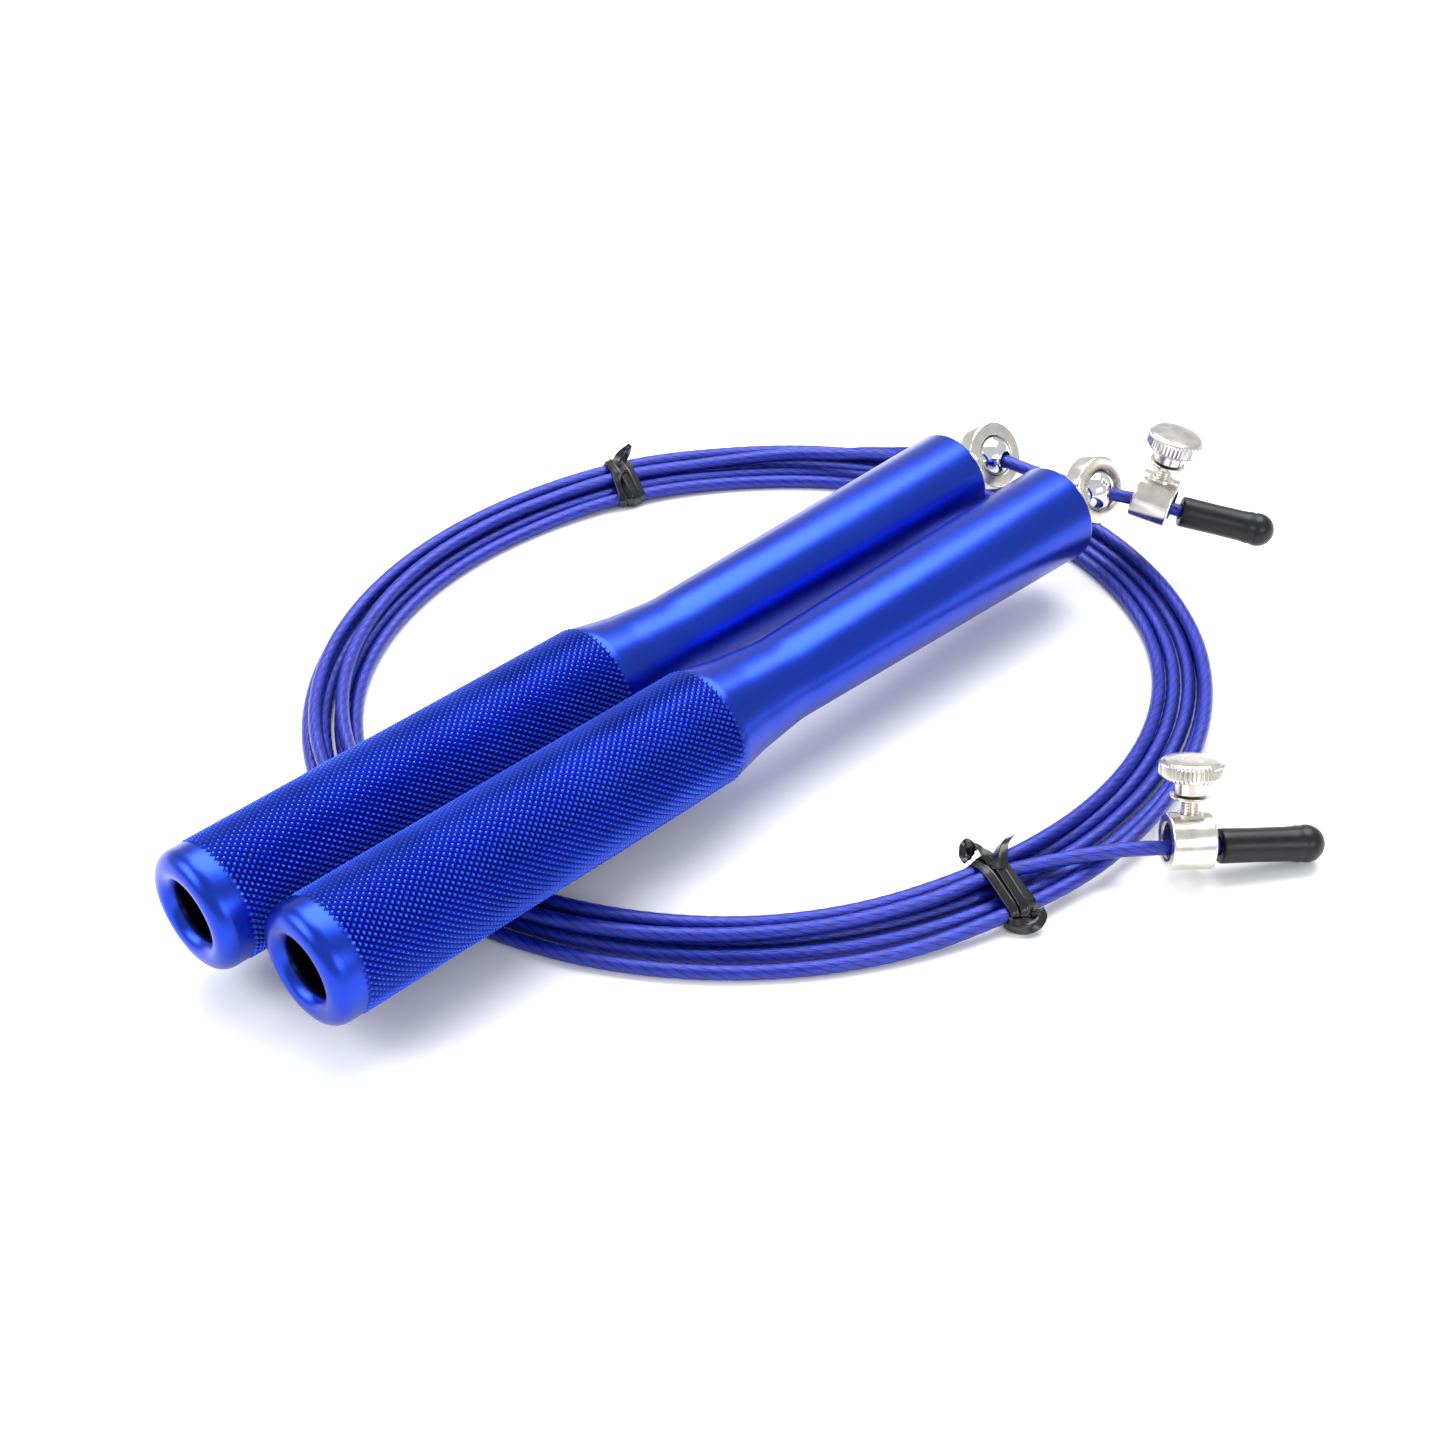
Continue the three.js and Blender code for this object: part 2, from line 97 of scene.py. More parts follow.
# Where the cable lies between the coil and these routes.
LEAD_IN = [(70, 46.4, 4.7), (76.6, 37.4, 6)]
LEAD_OUT = [(5.5, -63.3, 4.7), (11.4, -66.2, 4.8), (17.8, -70.2, 5.3), (22.5, -73.6, 5.7)]
CABLE_IN_CAP = 14.2
STOP_TO_CAP = 5.3
CABLE_DROP = 1.15  # the cable lies this far below the middle of a stop's bore
STOP_YAW = {"long_end": -14, "short_end": 0}
STOP_ROLL = {"long_end": -6, "short_end": -24}
RING_ROLL = {"front": 20, "rear": 32}

COIL_CENTRE = (17.85, 1.5)
COIL_AXES = (76.8, 67.7)
COIL_TURN = math.radians(-24)
COIL_START = math.radians(51.8)  # direction in which the long end leaves the coil
COIL_SPAN = (0.015, 5.545)  # turns from there, first and last
POINTS_PER_TURN = 30
# Turns wound so far, how far the cable lies out of the bundle's middle, and its height.
LAY = [
    (0, -0.5, 3.6),
    (0.06, -0.7, 3.6),
    (0.14, -0.9, 4.0),
    (0.22, -1.9, 4.1),
    (0.3, -2.9, 3.9),
    (0.4, -3.3, 3.9),
    (0.5, -3.6, 3.7),
    (0.54, -4.2, 3.9),
    (0.58, -4.9, 3.8),
    (0.66, -5.4, 2.5),
    (0.74, -4.9, 1.35),
    (0.8, -4.75, 1.3),
    (1, -4.7, 1.3),
    (1.25, -4.6, 1.3),
    (1.5, -4.8, 1.3),
    (1.62, -4.0, 1.3),
    (1.75, -2.1, 1.3),
    (2, -1.95, 1.3),
    (2.25, -1.9, 1.3),
    (2.5, -2.1, 1.3),
    (2.62, -1.2, 1.3),
    (2.75, 0.6, 1.3),
    (3, 0.8, 1.3),
    (3.25, 0.9, 1.3),
    (3.5, 1.3, 1.3),
    (3.62, 1.8, 1.3),
    (3.75, 3.2, 1.3),
    (4, 3.55, 1.3),
    (4.25, 3.7, 1.3),
    (4.5, 4.7, 1.3),
    (4.58, 4.7, 2.2),
    (4.66, 4.1, 3.8),
    (4.72, 3.0, 4.0),
    (4.8, 1.9, 3.7),
    (5, 2.4, 3.8),
    (5.25, 2.2, 3.8),
    (5.4, 0.9, 4.1),
    (5.5, -1.0, 4.1),
    (5.57, -2.1, 4.6),
]
# Where each tie stands on the floor, and the direction out of the coil there, in degrees.
TIES = {"rear": ((41.577, 64.961), 69.5), "front": ((4.855, -65.355), -101)}
TIE_REACH = 11  # along the coil, over which a tie lifts and tightens the bundle

# ---- Mesh helpers ----


def wrap_faces(rows, columns, rows_closed=False):
    """Quads of a grid of points whose columns close on themselves."""
    faces = []
    for i in range(rows if rows_closed else rows - 1):
        for j in range(columns):
            k = (j + 1) % columns
            here, ahead = i * columns, (i + 1) % rows * columns
            faces.append((here + j, here + k, ahead + k, ahead + j))
    return faces


def rounded(points, steps=4):
    """A closed outline from (along, radius, rounding): each corner with a rounding becomes a short curve."""
    outline = []
    for i, (a, r, size) in enumerate(points):
        here = np.array((a, r), float)
        if not size:
            outline.append(here)
            continue
        before, after = (np.array(points[k % len(points)][:2], float) - here for k in (i - 1, i + 1))
        start = here + before * (size / np.linalg.norm(before))
        end = here + after * (size / np.linalg.norm(after))
        for s in np.linspace(0, 1, steps + 1):
            outline.append((1 - s) ** 2 * start + 2 * s * (1 - s) * here + s * s * end)
    return outline


def turned(outline, segments=64, closed=True, shape=None):
    """A body turned about its +X. shape, if given, changes the radius at (row, angle)."""
    points = []
    for i, (a, r) in enumerate(outline):
        for j in range(segments):
            angle = 2 * math.pi * j / segments
            radius = shape(i, a, r, angle) if shape else r
            points.append((a, radius * math.cos(angle), radius * math.sin(angle)))
    return points, wrap_faces(len(outline), segments, closed)


def place(forward, up, at):
    """A frame at a point in millimetres, its +X forward and its +Z as near up as it can be."""
    x = Vector(forward).normalized()
    y = Vector(up).cross(x).normalized()
    z = x.cross(y)
    matrix = Matrix((x, y, z)).transposed().to_4x4()
    matrix.translation = Vector(at) * MM
    return matrix


def piece(name, shells, paint, at=Matrix.Identity(4), sharp=32, tidy=True):
    """One object from closed shells of (points, faces), smooth except at edges sharper than an angle."""
    points, faces = [], []
    for shell_points, shell_faces in shells:
        start = len(points)
        points.extend(shell_points)
        faces.extend([tuple(start + i for i in f) for f in shell_faces])
    mesh = bpy.data.meshes.new(name)
    mesh.from_pydata((np.array(points, float) * MM).tolist(), [], faces)
    if tidy:
        bm = bmesh.new()
        bm.from_mesh(mesh)
        bmesh.ops.remove_doubles(bm, verts=bm.verts, dist=2e-7)
        bmesh.ops.dissolve_degenerate(bm, edges=bm.edges, dist=1e-7)
        bmesh.ops.recalc_face_normals(bm, faces=bm.faces)
        bm.to_mesh(mesh)
        bm.free()
    mesh.shade_smooth()
    mesh.set_sharp_from_angle(angle=math.radians(sharp))
    mesh.materials.append(paint)
    obj = bpy.data.objects.new(name, mesh)
    bpy.context.scene.collection.objects.link(obj)
    obj.matrix_world = at
    return obj


def stands_for(obj, body, slot, *nodes):
    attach(obj, body)
    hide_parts(*nodes)
    return obj


def spline(points, per=6):
    """A centripetal curve through points, as the cable's solids follow."""
    p = np.array(points, float)
    p = np.vstack([2 * p[0] - p[1], p, 2 * p[-1] - p[-2]])
    out = []
    for a, b, c, d in zip(p, p[1:], p[2:], p[3:]):
        t0, t1, t2 = (max(np.linalg.norm(v) ** 0.5, 1e-6) for v in (b - a, c - b, d - c))
        m0 = ((b - a) / t0 - (c - a) / (t0 + t1) + (c - b) / t1) * t1
        m1 = ((c - b) / t1 - (d - b) / (t1 + t2) + (d - c) / t2) * t1
        for s in np.linspace(0, 1, per, endpoint=False):
            across = c * (3 * s**2 - 2 * s**3) + b * (2 * s**3 - 3 * s**2 + 1)
            out.append(across + m0 * (s**3 - 2 * s**2 + s) + m1 * (s**3 - s**2))
    out.append(p[-2])
    return np.array(out)


def even(points, step):
    """The same line with its points evenly spaced, and its length."""
    along = np.r_[0, np.cumsum(np.linalg.norm(np.diff(points, axis=0), axis=1))]
    at = np.linspace(0, along[-1], int(round(along[-1] / step)) + 1)
    return np.stack([np.interp(at, along, points[:, i]) for i in range(3)], 1), along[-1]


def unit(v):
    return v / np.linalg.norm(v)


def fine_line(points):
    """A route as points 0.05 mm apart, and its length."""
    return even(spline(points, 60), 0.05)


def line_at(points, distance):
    """The point and direction at a distance along a route."""
    line, length = fine_line(points)
    i = int(round(distance / length * (len(line) - 1)))
    return line[i], unit(line[i + 1] - line[i - 1])


# ---- Paints ----


class Paint:
    """A node material around one Principled shader."""

    def __init__(self, name, **values):
        self.material = bpy.data.materials.new(name)
        self.material.use_nodes = True
        self.tree = self.material.node_tree
        self.shader = self.tree.nodes["Principled BSDF"]
        self.set(self.shader, values)

    def set(self, target, values):
        for key, value in values.items():
            socket = target.inputs[key if isinstance(key, int) else key.replace("_", " ")]
            if isinstance(value, bpy.types.NodeSocket):
                self.tree.links.new(value, socket)
            else:
                socket.default_value = value

    def add(self, kind, inputs=None, **settings):
        made = self.tree.nodes.new("ShaderNode" + kind)
        for key, value in settings.items():
            setattr(made, key, value)
        self.set(made, inputs or {})
        return made

    def place(self, scale=(1, 1, 1), source="Object"):
        """Coordinates in the piece's own frame, in metres times scale."""
        if source == "UV":
            start = self.add("UVMap").outputs[0]
        else:
            start = self.add("TexCoord").outputs[source]
        return self.add("Mapping", {"Vector": start, "Scale": scale}).outputs[0]

    def noise(self, where, scale, detail=3):
        values = {"Vector": where, "Scale": scale, "Detail": detail}
        return self.add("TexNoise", values).outputs[0]

    def math(self, operation, a, b=0.0, clamp=False):
        return self.add("Math", {0: a, 1: b}, operation=operation, use_clamp=clamp).outputs[0]

    def wave(self, value):
        """0.5 at whole numbers, falling to 0 half-way between them."""
        part = self.math("FRACT", value)
        return self.math("ABSOLUTE", self.math("SUBTRACT", part, 0.5))

    def span(self, value, low, high, out_low, out_high):
        """A value from low to high as one from out_low to out_high."""
        values = {1: low, 2: high, 3: out_low, 4: out_high, 0: value}
        return self.add("MapRange", values).outputs[0]

    def colours(self, value, *stops):
        ramp = self.add("ValToRGB", {"Fac": value})
        elements = ramp.color_ramp.elements
        while len(elements) < len(stops):
            elements.new(0.5)
        for element, (position, colour) in zip(elements, stops):
            element.position = position
            element.color = (*colour, 1)
        return ramp.outputs[0]

    def bump(self, height, distance, strength):
        values = {"Height": height, "Distance": distance, "Strength": strength}
        return self.add("Bump", values).outputs[0]

    def finish(self, **links):
        self.set(self.shader, links)
        return self.material


def anodised_blue():
    """Dyed aluminium: turned grooves, uneven dye, knurl tops lighter as worn dye and painted highlight, knurl
    valleys darker as painted shade, and a bore painted nearly black as painted shade.
    """
    paint = Paint("anodised_blue", Metallic=1.0, Coat_Weight=0.2, Coat_Roughness=0.26, Coat_IOR=1.5)
    body = paint.place()
    round_axis = paint.place((1, 0.02, 0.02))
    cloud = paint.noise(body, 60, 4)
    grooves = paint.noise(round_axis, 9000, 2)
    bands = paint.noise(round_axis, 700, 3)
    # This attribute carries painted light: painted highlight with worn dye on the knurl's tops, and painted
    # shade in its valleys and in the bore.
    painted_light_and_wear = paint.add("Attribute", attribute_name="wear_and_painted_light").outputs["Fac"]
    uneven = paint.math("MULTIPLY", cloud, 0.3)
    mixed = paint.math("ADD", uneven, paint.math("MULTIPLY", painted_light_and_wear, 0.7))
    # The darkest stops are painted shade for the bore and the knurl's valleys; the lightest is painted
    # highlight and worn dye on the knurl's tops.
    colour = paint.colours(
        mixed,
        (0.02, (0.001, 0.002, 0.025)),
        (0.12, (0.004, 0.014, 0.19)),
        (0.36, (0.008, 0.038, 0.42)),
        (0.62, (0.010, 0.046, 0.48)),
        (0.95, (0.060, 0.150, 0.82)),
    )
    patches = paint.span(cloud, 0.3, 0.7, 0.29, 0.35)
    rough = paint.math("ADD", patches, paint.span(bands, 0.3, 0.7, -0.02, 0.02))
    return paint.finish(Base_Color=colour, Roughness=rough, Normal=paint.bump(grooves, 3e-6, 0.4))


def plated(name, base, low, high, marks=2500):
    """A plated metal with faint polishing marks and a few dull patches."""
    paint = Paint(name, Metallic=1.0)
    where = paint.place()
    cloud = paint.noise(where, 350, 4)
    lines = paint.noise(paint.place((1, 0.05, 0.05)), marks, 2)
    dark = tuple(c * 0.82 for c in base)
    colour = paint.colours(cloud, (0.3, dark), (0.7, base))
    rough = paint.span(cloud, 0.3, 0.75, low, high)
    return paint.finish(Base_Color=colour, Roughness=rough, Normal=paint.bump(lines, 4e-6, 0.35))


def coated_cable():
    """Twisted wire strands seen through a clear blue coat, with the grooves between strands and between wires
    darkened as painted shade. u runs in lay lengths, v once round the cable.
    """
    paint = Paint("coated_cable", Metallic=0.4, Coat_Weight=0.35, Coat_Roughness=0.05, Coat_IOR=1.4)
    uv = paint.add("SeparateXYZ", {0: paint.place(source="UV")})
    along, around = uv.outputs[0], uv.outputs[1]
    strand = paint.wave(paint.math("MULTIPLY", around, 6.0))
    wires = paint.math("ADD", paint.math("MULTIPLY", around, 42.0), paint.math("MULTIPLY", along, 26.0))
    wire = paint.wave(wires)
    cloud = paint.noise(paint.place(), 500, 3)
    height = paint.math("SUBTRACT", paint.math("MULTIPLY", wire, -0.22), paint.math("POWER", strand, 2.0))
    # tone is darker in the grooves between strands and between wires as painted shade, plus a random cloud.
    tone = paint.math("ADD", paint.span(strand, 0.3, 0.5, 0.75, 0.2), paint.span(wire, 0.0, 0.5, 0.0, -0.2))
    tone = paint.math("ADD", tone, paint.span(cloud, 0.3, 0.7, -0.12, 0.12), clamp=True)
    colour = paint.colours(
        tone,
        (0.0, (0.001, 0.003, 0.07)),
        (0.45, (0.003, 0.012, 0.24)),
        (1.0, (0.010, 0.034, 0.50)),
    )
    rough = paint.span(cloud, 0.3, 0.7, 0.28, 0.4)
    coat = paint.bump(paint.noise(paint.place(), 900, 2), 2e-5, 0.3)
    return paint.finish(
        Base_Color=colour, Roughness=rough, Normal=paint.bump(height, 2.5e-4, 0.9), Coat_Normal=coat
    )


def black(name, base, low, high, grain, depth, coat=0.0):
    """A black plastic with a fine surface grain and slight handling marks."""
    paint = Paint(name, Specular_IOR_Level=0.3, Coat_Weight=coat, Coat_Roughness=0.16)
    where = paint.place()
    fine = paint.noise(where, grain, 3)
    cloud = paint.noise(where, grain / 9, 3)
    colour = paint.colours(cloud, (0.3, base), (0.75, tuple(c * 1.7 for c in base)))
    rough = paint.span(cloud, 0.3, 0.7, low, high)
    return paint.finish(Base_Color=colour, Roughness=rough, Normal=paint.bump(fine, depth, 0.5))


BLUE = anodised_blue()
NICKEL = plated("satin_nickel", (0.80, 0.76, 0.69), 0.18, 0.30)
CHROME = plated("polished_chrome", (0.88, 0.88, 0.87), 0.04, 0.10)
STEEL = plated("ground_steel", (0.62, 0.63, 0.65), 0.22, 0.32)
BRASS = plated("turned_brass", (0.72, 0.52, 0.22), 0.25, 0.35)
CABLE = coated_cable()
VINYL = black("black_vinyl", (0.005, 0.005, 0.006), 0.30, 0.40, 4500, 6e-6)
TIE = black("black_tie", (0.004, 0.004, 0.005), 0.22, 0.34, 3000, 1.2e-5, 0.4)

# ---- Cable ----


def lay(turns):
    """Offset and height of the cable after some turns: a smooth curve through LAY that never overshoots."""
    table = np.array(LAY)
    x = table[:, 0]
    i = min(max(int(np.searchsorted(x, turns, side="right")) - 1, 0), len(x) - 2)
    h = x[i + 1] - x[i]
    s = (turns - x[i]) / h
    values = []
    for y in (table[:, 1], table[:, 2]):
        slope = np.diff(y) / np.diff(x)
        m = [0, 0]
        for end in (0, 1):
            k = i + end
            if k in (0, len(x) - 1):
                m[end] = slope[min(k, len(slope) - 1)]
            elif slope[k - 1] * slope[k] > 0:
                h0, h1 = x[k] - x[k - 1], x[k + 1] - x[k]
                w0, w1 = 2 * h1 + h0, h1 + 2 * h0
                m[end] = (w0 + w1) / (w0 / slope[k - 1] + w1 / slope[k])
        ends = y[i] * (1 + 2 * s) * (1 - s) ** 2 + y[i + 1] * s * s * (3 - 2 * s)
        values.append(ends + h * (m[0] * s * (1 - s) ** 2 + m[1] * s * s * (s - 1)))
    return values


def near_tie(angle):
    """1 at a tie, falling to 0 away from it."""
    mean_radius = sum(COIL_AXES) / 2
    near = 0
    for _, degrees in TIES.values():
        out = math.radians(degrees) - COIL_TURN
        tie = COIL_TURN + math.atan2(COIL_AXES[0] * math.sin(out), COIL_AXES[1] * math.cos(out))
        gap = (angle - tie + math.pi) % (2 * math.pi) - math.pi
        near += math.exp(-((gap * mean_radius / TIE_REACH) ** 2))
    return near


def coil_point(turns):
    angle = COIL_START + 2 * math.pi * turns
    out, up = lay(turns)
    near = near_tie(angle)
    wander = 0.08 * math.sin(2.3 * angle + 0.9 * turns)
    out = out * (1 - 0.05 * near) + wander * (1 - near)
    a = angle - COIL_TURN
    oval = np.array((COIL_AXES[0] * math.cos(a), COIL_AXES[1] * math.sin(a)))
    x, y = oval + unit(oval) * out
    cos, sin = math.cos(COIL_TURN), math.sin(COIL_TURN)
    return COIL_CENTRE[0] + x * cos - y * sin, COIL_CENTRE[1] + x * sin + y * cos, up + 0.5 * near


def cable_route():
    """The whole cable, from inside the long end's cap to inside the short end's."""
    count = int((COIL_SPAN[1] - COIL_SPAN[0]) * POINTS_PER_TURN)
    coil = [coil_point(t) for t in np.linspace(*COIL_SPAN, count)]
    return spline(LONG_END[::-1] + LEAD_IN[::-1] + coil + LEAD_OUT + SHORT_END, 8)


RING_STEP = 0.8
STRANDS = 6
SIDES = 24
LAY_LENGTH = 16  # the strands go once round the cable in this length
STRAND_DEPTH = 0.035  # of the radius, how much the strands show through the coat

cable_line, cable_length = even(cable_route(), RING_STEP)


def make_cable():
    """One tube along the route. Its columns follow the strands, so that they twist with them."""
    line = cable_line
    ahead = np.gradient(line, axis=0)
    ahead /= np.linalg.norm(ahead, axis=1)[:, None]
    side = unit(np.cross(ahead[0], (0, 0, 1)))
    radius = CABLE_D / 2
    angles = np.arange(SIDES) * 2 * math.pi / SIDES
    lobes = radius * (1 - STRAND_DEPTH * (0.5 - 0.5 * np.cos(STRANDS * angles)))
    rings = []
    for i, point in enumerate(line):
        side = unit(side - ahead[i] * side.dot(ahead[i]))
        other = np.cross(ahead[i], side)
        turn = angles + 2 * math.pi * i * RING_STEP / LAY_LENGTH
        rings.append(point + (lobes * np.cos(turn))[:, None] * side + (lobes * np.sin(turn))[:, None] * other)
    points = np.vstack([np.vstack(rings), line[:1], line[-1:]])
    faces = wrap_faces(len(line), SIDES)
    first, last = len(points) - 2, len(points) - 1
    base = (len(line) - 1) * SIDES
    faces += [(first, (j + 1) % SIDES, j) for j in range(SIDES)]
    faces += [(last, base + j, base + (j + 1) % SIDES) for j in range(SIDES)]
    cable = piece("cable", [(points, faces)], CABLE, sharp=60, tidy=False)
    paint_along(cable.data, len(line))
    return cable


def paint_along(mesh, rings):
    """UV for the cable: u in lay lengths along it, v once round it."""
    layer = mesh.uv_layers.new(name="UVMap")
    corners = np.zeros(len(mesh.loops), int)
    mesh.loops.foreach_get("vertex_index", corners)
    ring, column = corners // SIDES, corners % SIDES
    u = np.minimum(ring, rings) * RING_STEP / LAY_LENGTH
    v = column / SIDES
    quads = (rings - 1) * SIDES * 4
    wraps = (np.arange(quads) // 4 % SIDES == SIDES - 1) & (column[:quads] == 0)
    v[:quads][wraps] = 1.0
    layer.data.foreach_set("uv", np.stack([u, v], 1).ravel().astype(np.float32))


cable = stands_for(make_cable(), "rope", "blue_cable", "cable_coil", "cable_long_end", "cable_short_end")

# ---- Handles ----

GRIP_START, GRIP_END = 5.0, 81.2
GRIP_RADIUS, BORE_RADIUS, LIP_RADIUS = 10.2, 5.0, 10.05
MOUTH_ROUND, MOUTH_DEPTH, LIP_ROUND = 2.3, 3.0, 2.75
TIP_RADIUS = 9.1
SEAT_RADIUS, SEAT_DEPTH, SEAT_CHAMFER = 6.8, 22, 0.3  # the bearings' seat
# Along the handle, radius and rounding, from the end of the grip to the waist.
TAPER = [
    (GRIP_END + 0.25, 9.8, 0.05),
    (82.0, 9.78, 0.25),
    (88.3, 8.6, 1.2),
    (98.3, 7.5, 2.0),
]
KNURL_AROUND = 56
KNURL_ROWS = 110  # half diamonds along the grip
KNURL_DEPTH = 0.42
KNURL_FLAT = 0.2  # share of each diamond that its flat top takes


def knurl():
    """Diamond pyramids with flat tops on a half-diamond grid: corners on even crossings, tops on odd."""
    columns = 2 * KNURL_AROUND
    points, faces = [], []

    def at(row, column, radius):
        x = GRIP_START + (GRIP_END - GRIP_START) * row / KNURL_ROWS
        angle = 2 * math.pi * column / columns
        return x, radius * math.cos(angle), radius * math.sin(angle)

    low = GRIP_RADIUS - KNURL_DEPTH
    for row in range(KNURL_ROWS + 1):
        for column in range(columns):
            points.append(at(row, column, low))
    for row in range(1, KNURL_ROWS):
        for column in range(columns):
            if (row + column) % 2 == 0:
                continue
            around = [(row, column - 1), (row + 1, column), (row, column + 1), (row - 1, column)]
            base = [r * columns + c % columns for r, c in around]
            start = len(points)
            for r, c in around:
                top_row = row + (r - row) * KNURL_FLAT
                top_column = column + (c - column) * KNURL_FLAT
                points.append(at(top_row, top_column, GRIP_RADIUS))
            faces.append((start, start + 1, start + 2, start + 3))
            for k in range(4):
                n = (k + 1) % 4
                faces.append((base[k], base[n], start + n, start + k))
    for row in (0, KNURL_ROWS):
        step = 1 if row == 0 else -1
        for column in range(columns):
            if (row + column) % 2:
                sides = [row * columns + (column + d) % columns for d in (-1, 0, 1)]
                inner = (row + step) * columns + column
                faces.append((sides[0], sides[1], inner))
                faces.append((sides[1], sides[2], inner))
    used = sorted({i for f in faces for i in f})
    index = {old: new for new, old in enumerate(used)}
    faces = [tuple(index[i] for i in f) for f in faces]
    return [points[i] for i in used], faces


def body_outline():
    """The outline from the end of the grip outside to the tip, back along the bore, and round the lip."""
    mouth, lip = [], []
    for s in np.linspace(0, 1, 9):
        a = s * math.pi / 2
        mouth.append((MOUTH_DEPTH * (1 - math.sin(a)), BORE_RADIUS + MOUTH_ROUND * (1 - math.cos(a))))
        lip.append((LIP_ROUND * (1 - math.cos(a)), LIP_RADIUS - LIP_ROUND * (1 - math.sin(a))))
    low = GRIP_RADIUS - KNURL_DEPTH
    tail = rounded(
        [
            (GRIP_END, low, 0),
            *TAPER,
            (HANDLE_LENGTH, TIP_RADIUS, 0.7),
            (HANDLE_LENGTH, SEAT_RADIUS + SEAT_CHAMFER, 0.1),
            (HANDLE_LENGTH - SEAT_CHAMFER, SEAT_RADIUS, 0.1),
            (HANDLE_LENGTH - SEAT_DEPTH, SEAT_RADIUS, 0),
            (HANDLE_LENGTH - SEAT_DEPTH, BORE_RADIUS, 0),
            (MOUTH_DEPTH, BORE_RADIUS, 0),
        ]
    )[:-1]
    head = lip[1:] + [(GRIP_START - 0.15, LIP_RADIUS), (GRIP_START, low)]
    return [tuple(p) for p in tail] + mouth + head


def make_handle(prefix, x, y):
    outline = body_outline()
    shell, faces = turned(outline, 2 * KNURL_AROUND, closed=False)
    body = piece(
        f"{prefix}_handle_body_detailed",
        [(shell, faces), knurl()],
        BLUE,
        Matrix.Translation((x * MM, y * MM, AXIS_HEIGHT * MM)),
        sharp=24,
    )
    # 1 on the knurl's tops (painted highlight and worn dye), 0 in its valleys (painted shade), 0.5 on smooth
    # metal and less than 0 in the bore (painted shade, nearly black).
    values = body.data.attributes.new("wear_and_painted_light", "FLOAT", "POINT")
    co = np.zeros(len(body.data.vertices) * 3)
    body.data.vertices.foreach_get("co", co)
    co = co.reshape(-1, 3) / MM
    radius = np.hypot(co[:, 1], co[:, 2])
    on_grip = (co[:, 0] > GRIP_START + 0.01) & (co[:, 0] < GRIP_END - 0.01) & (radius > 8)
    tone = np.where(on_grip, (radius > GRIP_RADIUS - KNURL_DEPTH / 2) * 1.0, 0.5)
    # The bore is painted nearly black: painted shade.
    in_bore = (radius < BORE_RADIUS + 0.3) & (co[:, 0] < HANDLE_LENGTH / 2)
    values.data.foreach_set("value", np.where(in_bore, -0.5, tone))
    return stands_for(body, f"{prefix}_handle", "blue_aluminium", f"{prefix}_handle_body")


RING_RADIUS, RING_HALF, BALL_RADIUS, HOLE_RADIUS = 6.4, 1.9, 4.0, 1.7
STEM_RADIUS, STEM_LENGTH = 2.2, 22.2
HOLE_CHAMFER = 0.12


def swivel_shells(roll):
    """The ring about its own middle, rolled about the handle, with the neck and the stem towards -X."""
    socket = BALL_RADIUS + 0.15
    seat = [(a, math.sqrt(socket**2 - a * a), 0) for a in np.linspace(1.5, -1.5, 11)]
    band = rounded(
        [
            (-RING_HALF, socket - 0.1, 0.1),
            (-RING_HALF, RING_RADIUS, 0.5),
            (RING_HALF, RING_RADIUS, 0.5),
            (RING_HALF, socket - 0.1, 0.1),
            *seat,
        ]
    )
    points, faces = turned(band, 72)
    cos, sin = math.cos(math.radians(-roll)), math.sin(math.radians(-roll))
    ring = [(y, x * cos - z * sin, x * sin + z * cos) for x, y, z in points], faces
    neck = rounded(
        [
            (-4.6, 0, 0),
            (-4.6, 2.4, 0),
            (-5.8, 3.5, 0.3),
            (-7.2, 3.1, 0.8),
            (0.1 - REACH, 3.1, 0.2),
            (0.1 - REACH, STEM_RADIUS, 0),
            (-REACH - STEM_LENGTH, STEM_RADIUS, 0.2),
            (-REACH - STEM_LENGTH, 0, 0),
        ]
    )
    return [ring, turned(neck, 40, closed=False)]


def ball_shell():
    """A ball with a rounded through hole along its X."""
    half = math.sqrt(BALL_RADIUS**2 - HOLE_RADIUS**2)
    limit = math.asin((half - 0.25) / BALL_RADIUS)
    outside = []
    for a in np.linspace(-limit, limit, 33):
        outside.append((BALL_RADIUS * math.sin(a), BALL_RADIUS * math.cos(a)))
    edge = half - 0.25
    inside = [
        (edge + 0.1, HOLE_RADIUS + HOLE_CHAMFER),
        (edge - 0.05, HOLE_RADIUS),
        (0.05 - edge, HOLE_RADIUS),
        (-edge - 0.1, HOLE_RADIUS + HOLE_CHAMFER),
    ]
    return turned(outside + inside, 64)


def make_swivel(prefix, x, y):
    middle = Vector((x + HANDLE_LENGTH + REACH, y, AXIS_HEIGHT))
    shells = swivel_shells(RING_ROLL[prefix])
    ring = piece(f"{prefix}_swivel_ring_detailed", shells, NICKEL, Matrix.Translation(middle * MM), sharp=40)
    stands_for(ring, f"{prefix}_swivel", "nickel", f"{prefix}_swivel_ring")
    line = fine_line(LONG_END)[0]
    nearest = int(np.argmin(np.linalg.norm(line - np.array(middle), axis=1)))
    along = line[nearest + 1] - line[nearest - 1]
    here = place(along, (0, 0, 1), middle)
    ball = piece(f"{prefix}_swivel_ball_detailed", [ball_shell()], CHROME, here, sharp=40)
    stands_for(ball, f"{prefix}_ball", "chrome", f"{prefix}_swivel_ball")


for prefix, (x, y) in HANDLES.items():
    make_handle(prefix, x, y)
    make_swivel(prefix, x, y)

# ---- Stops and caps ----

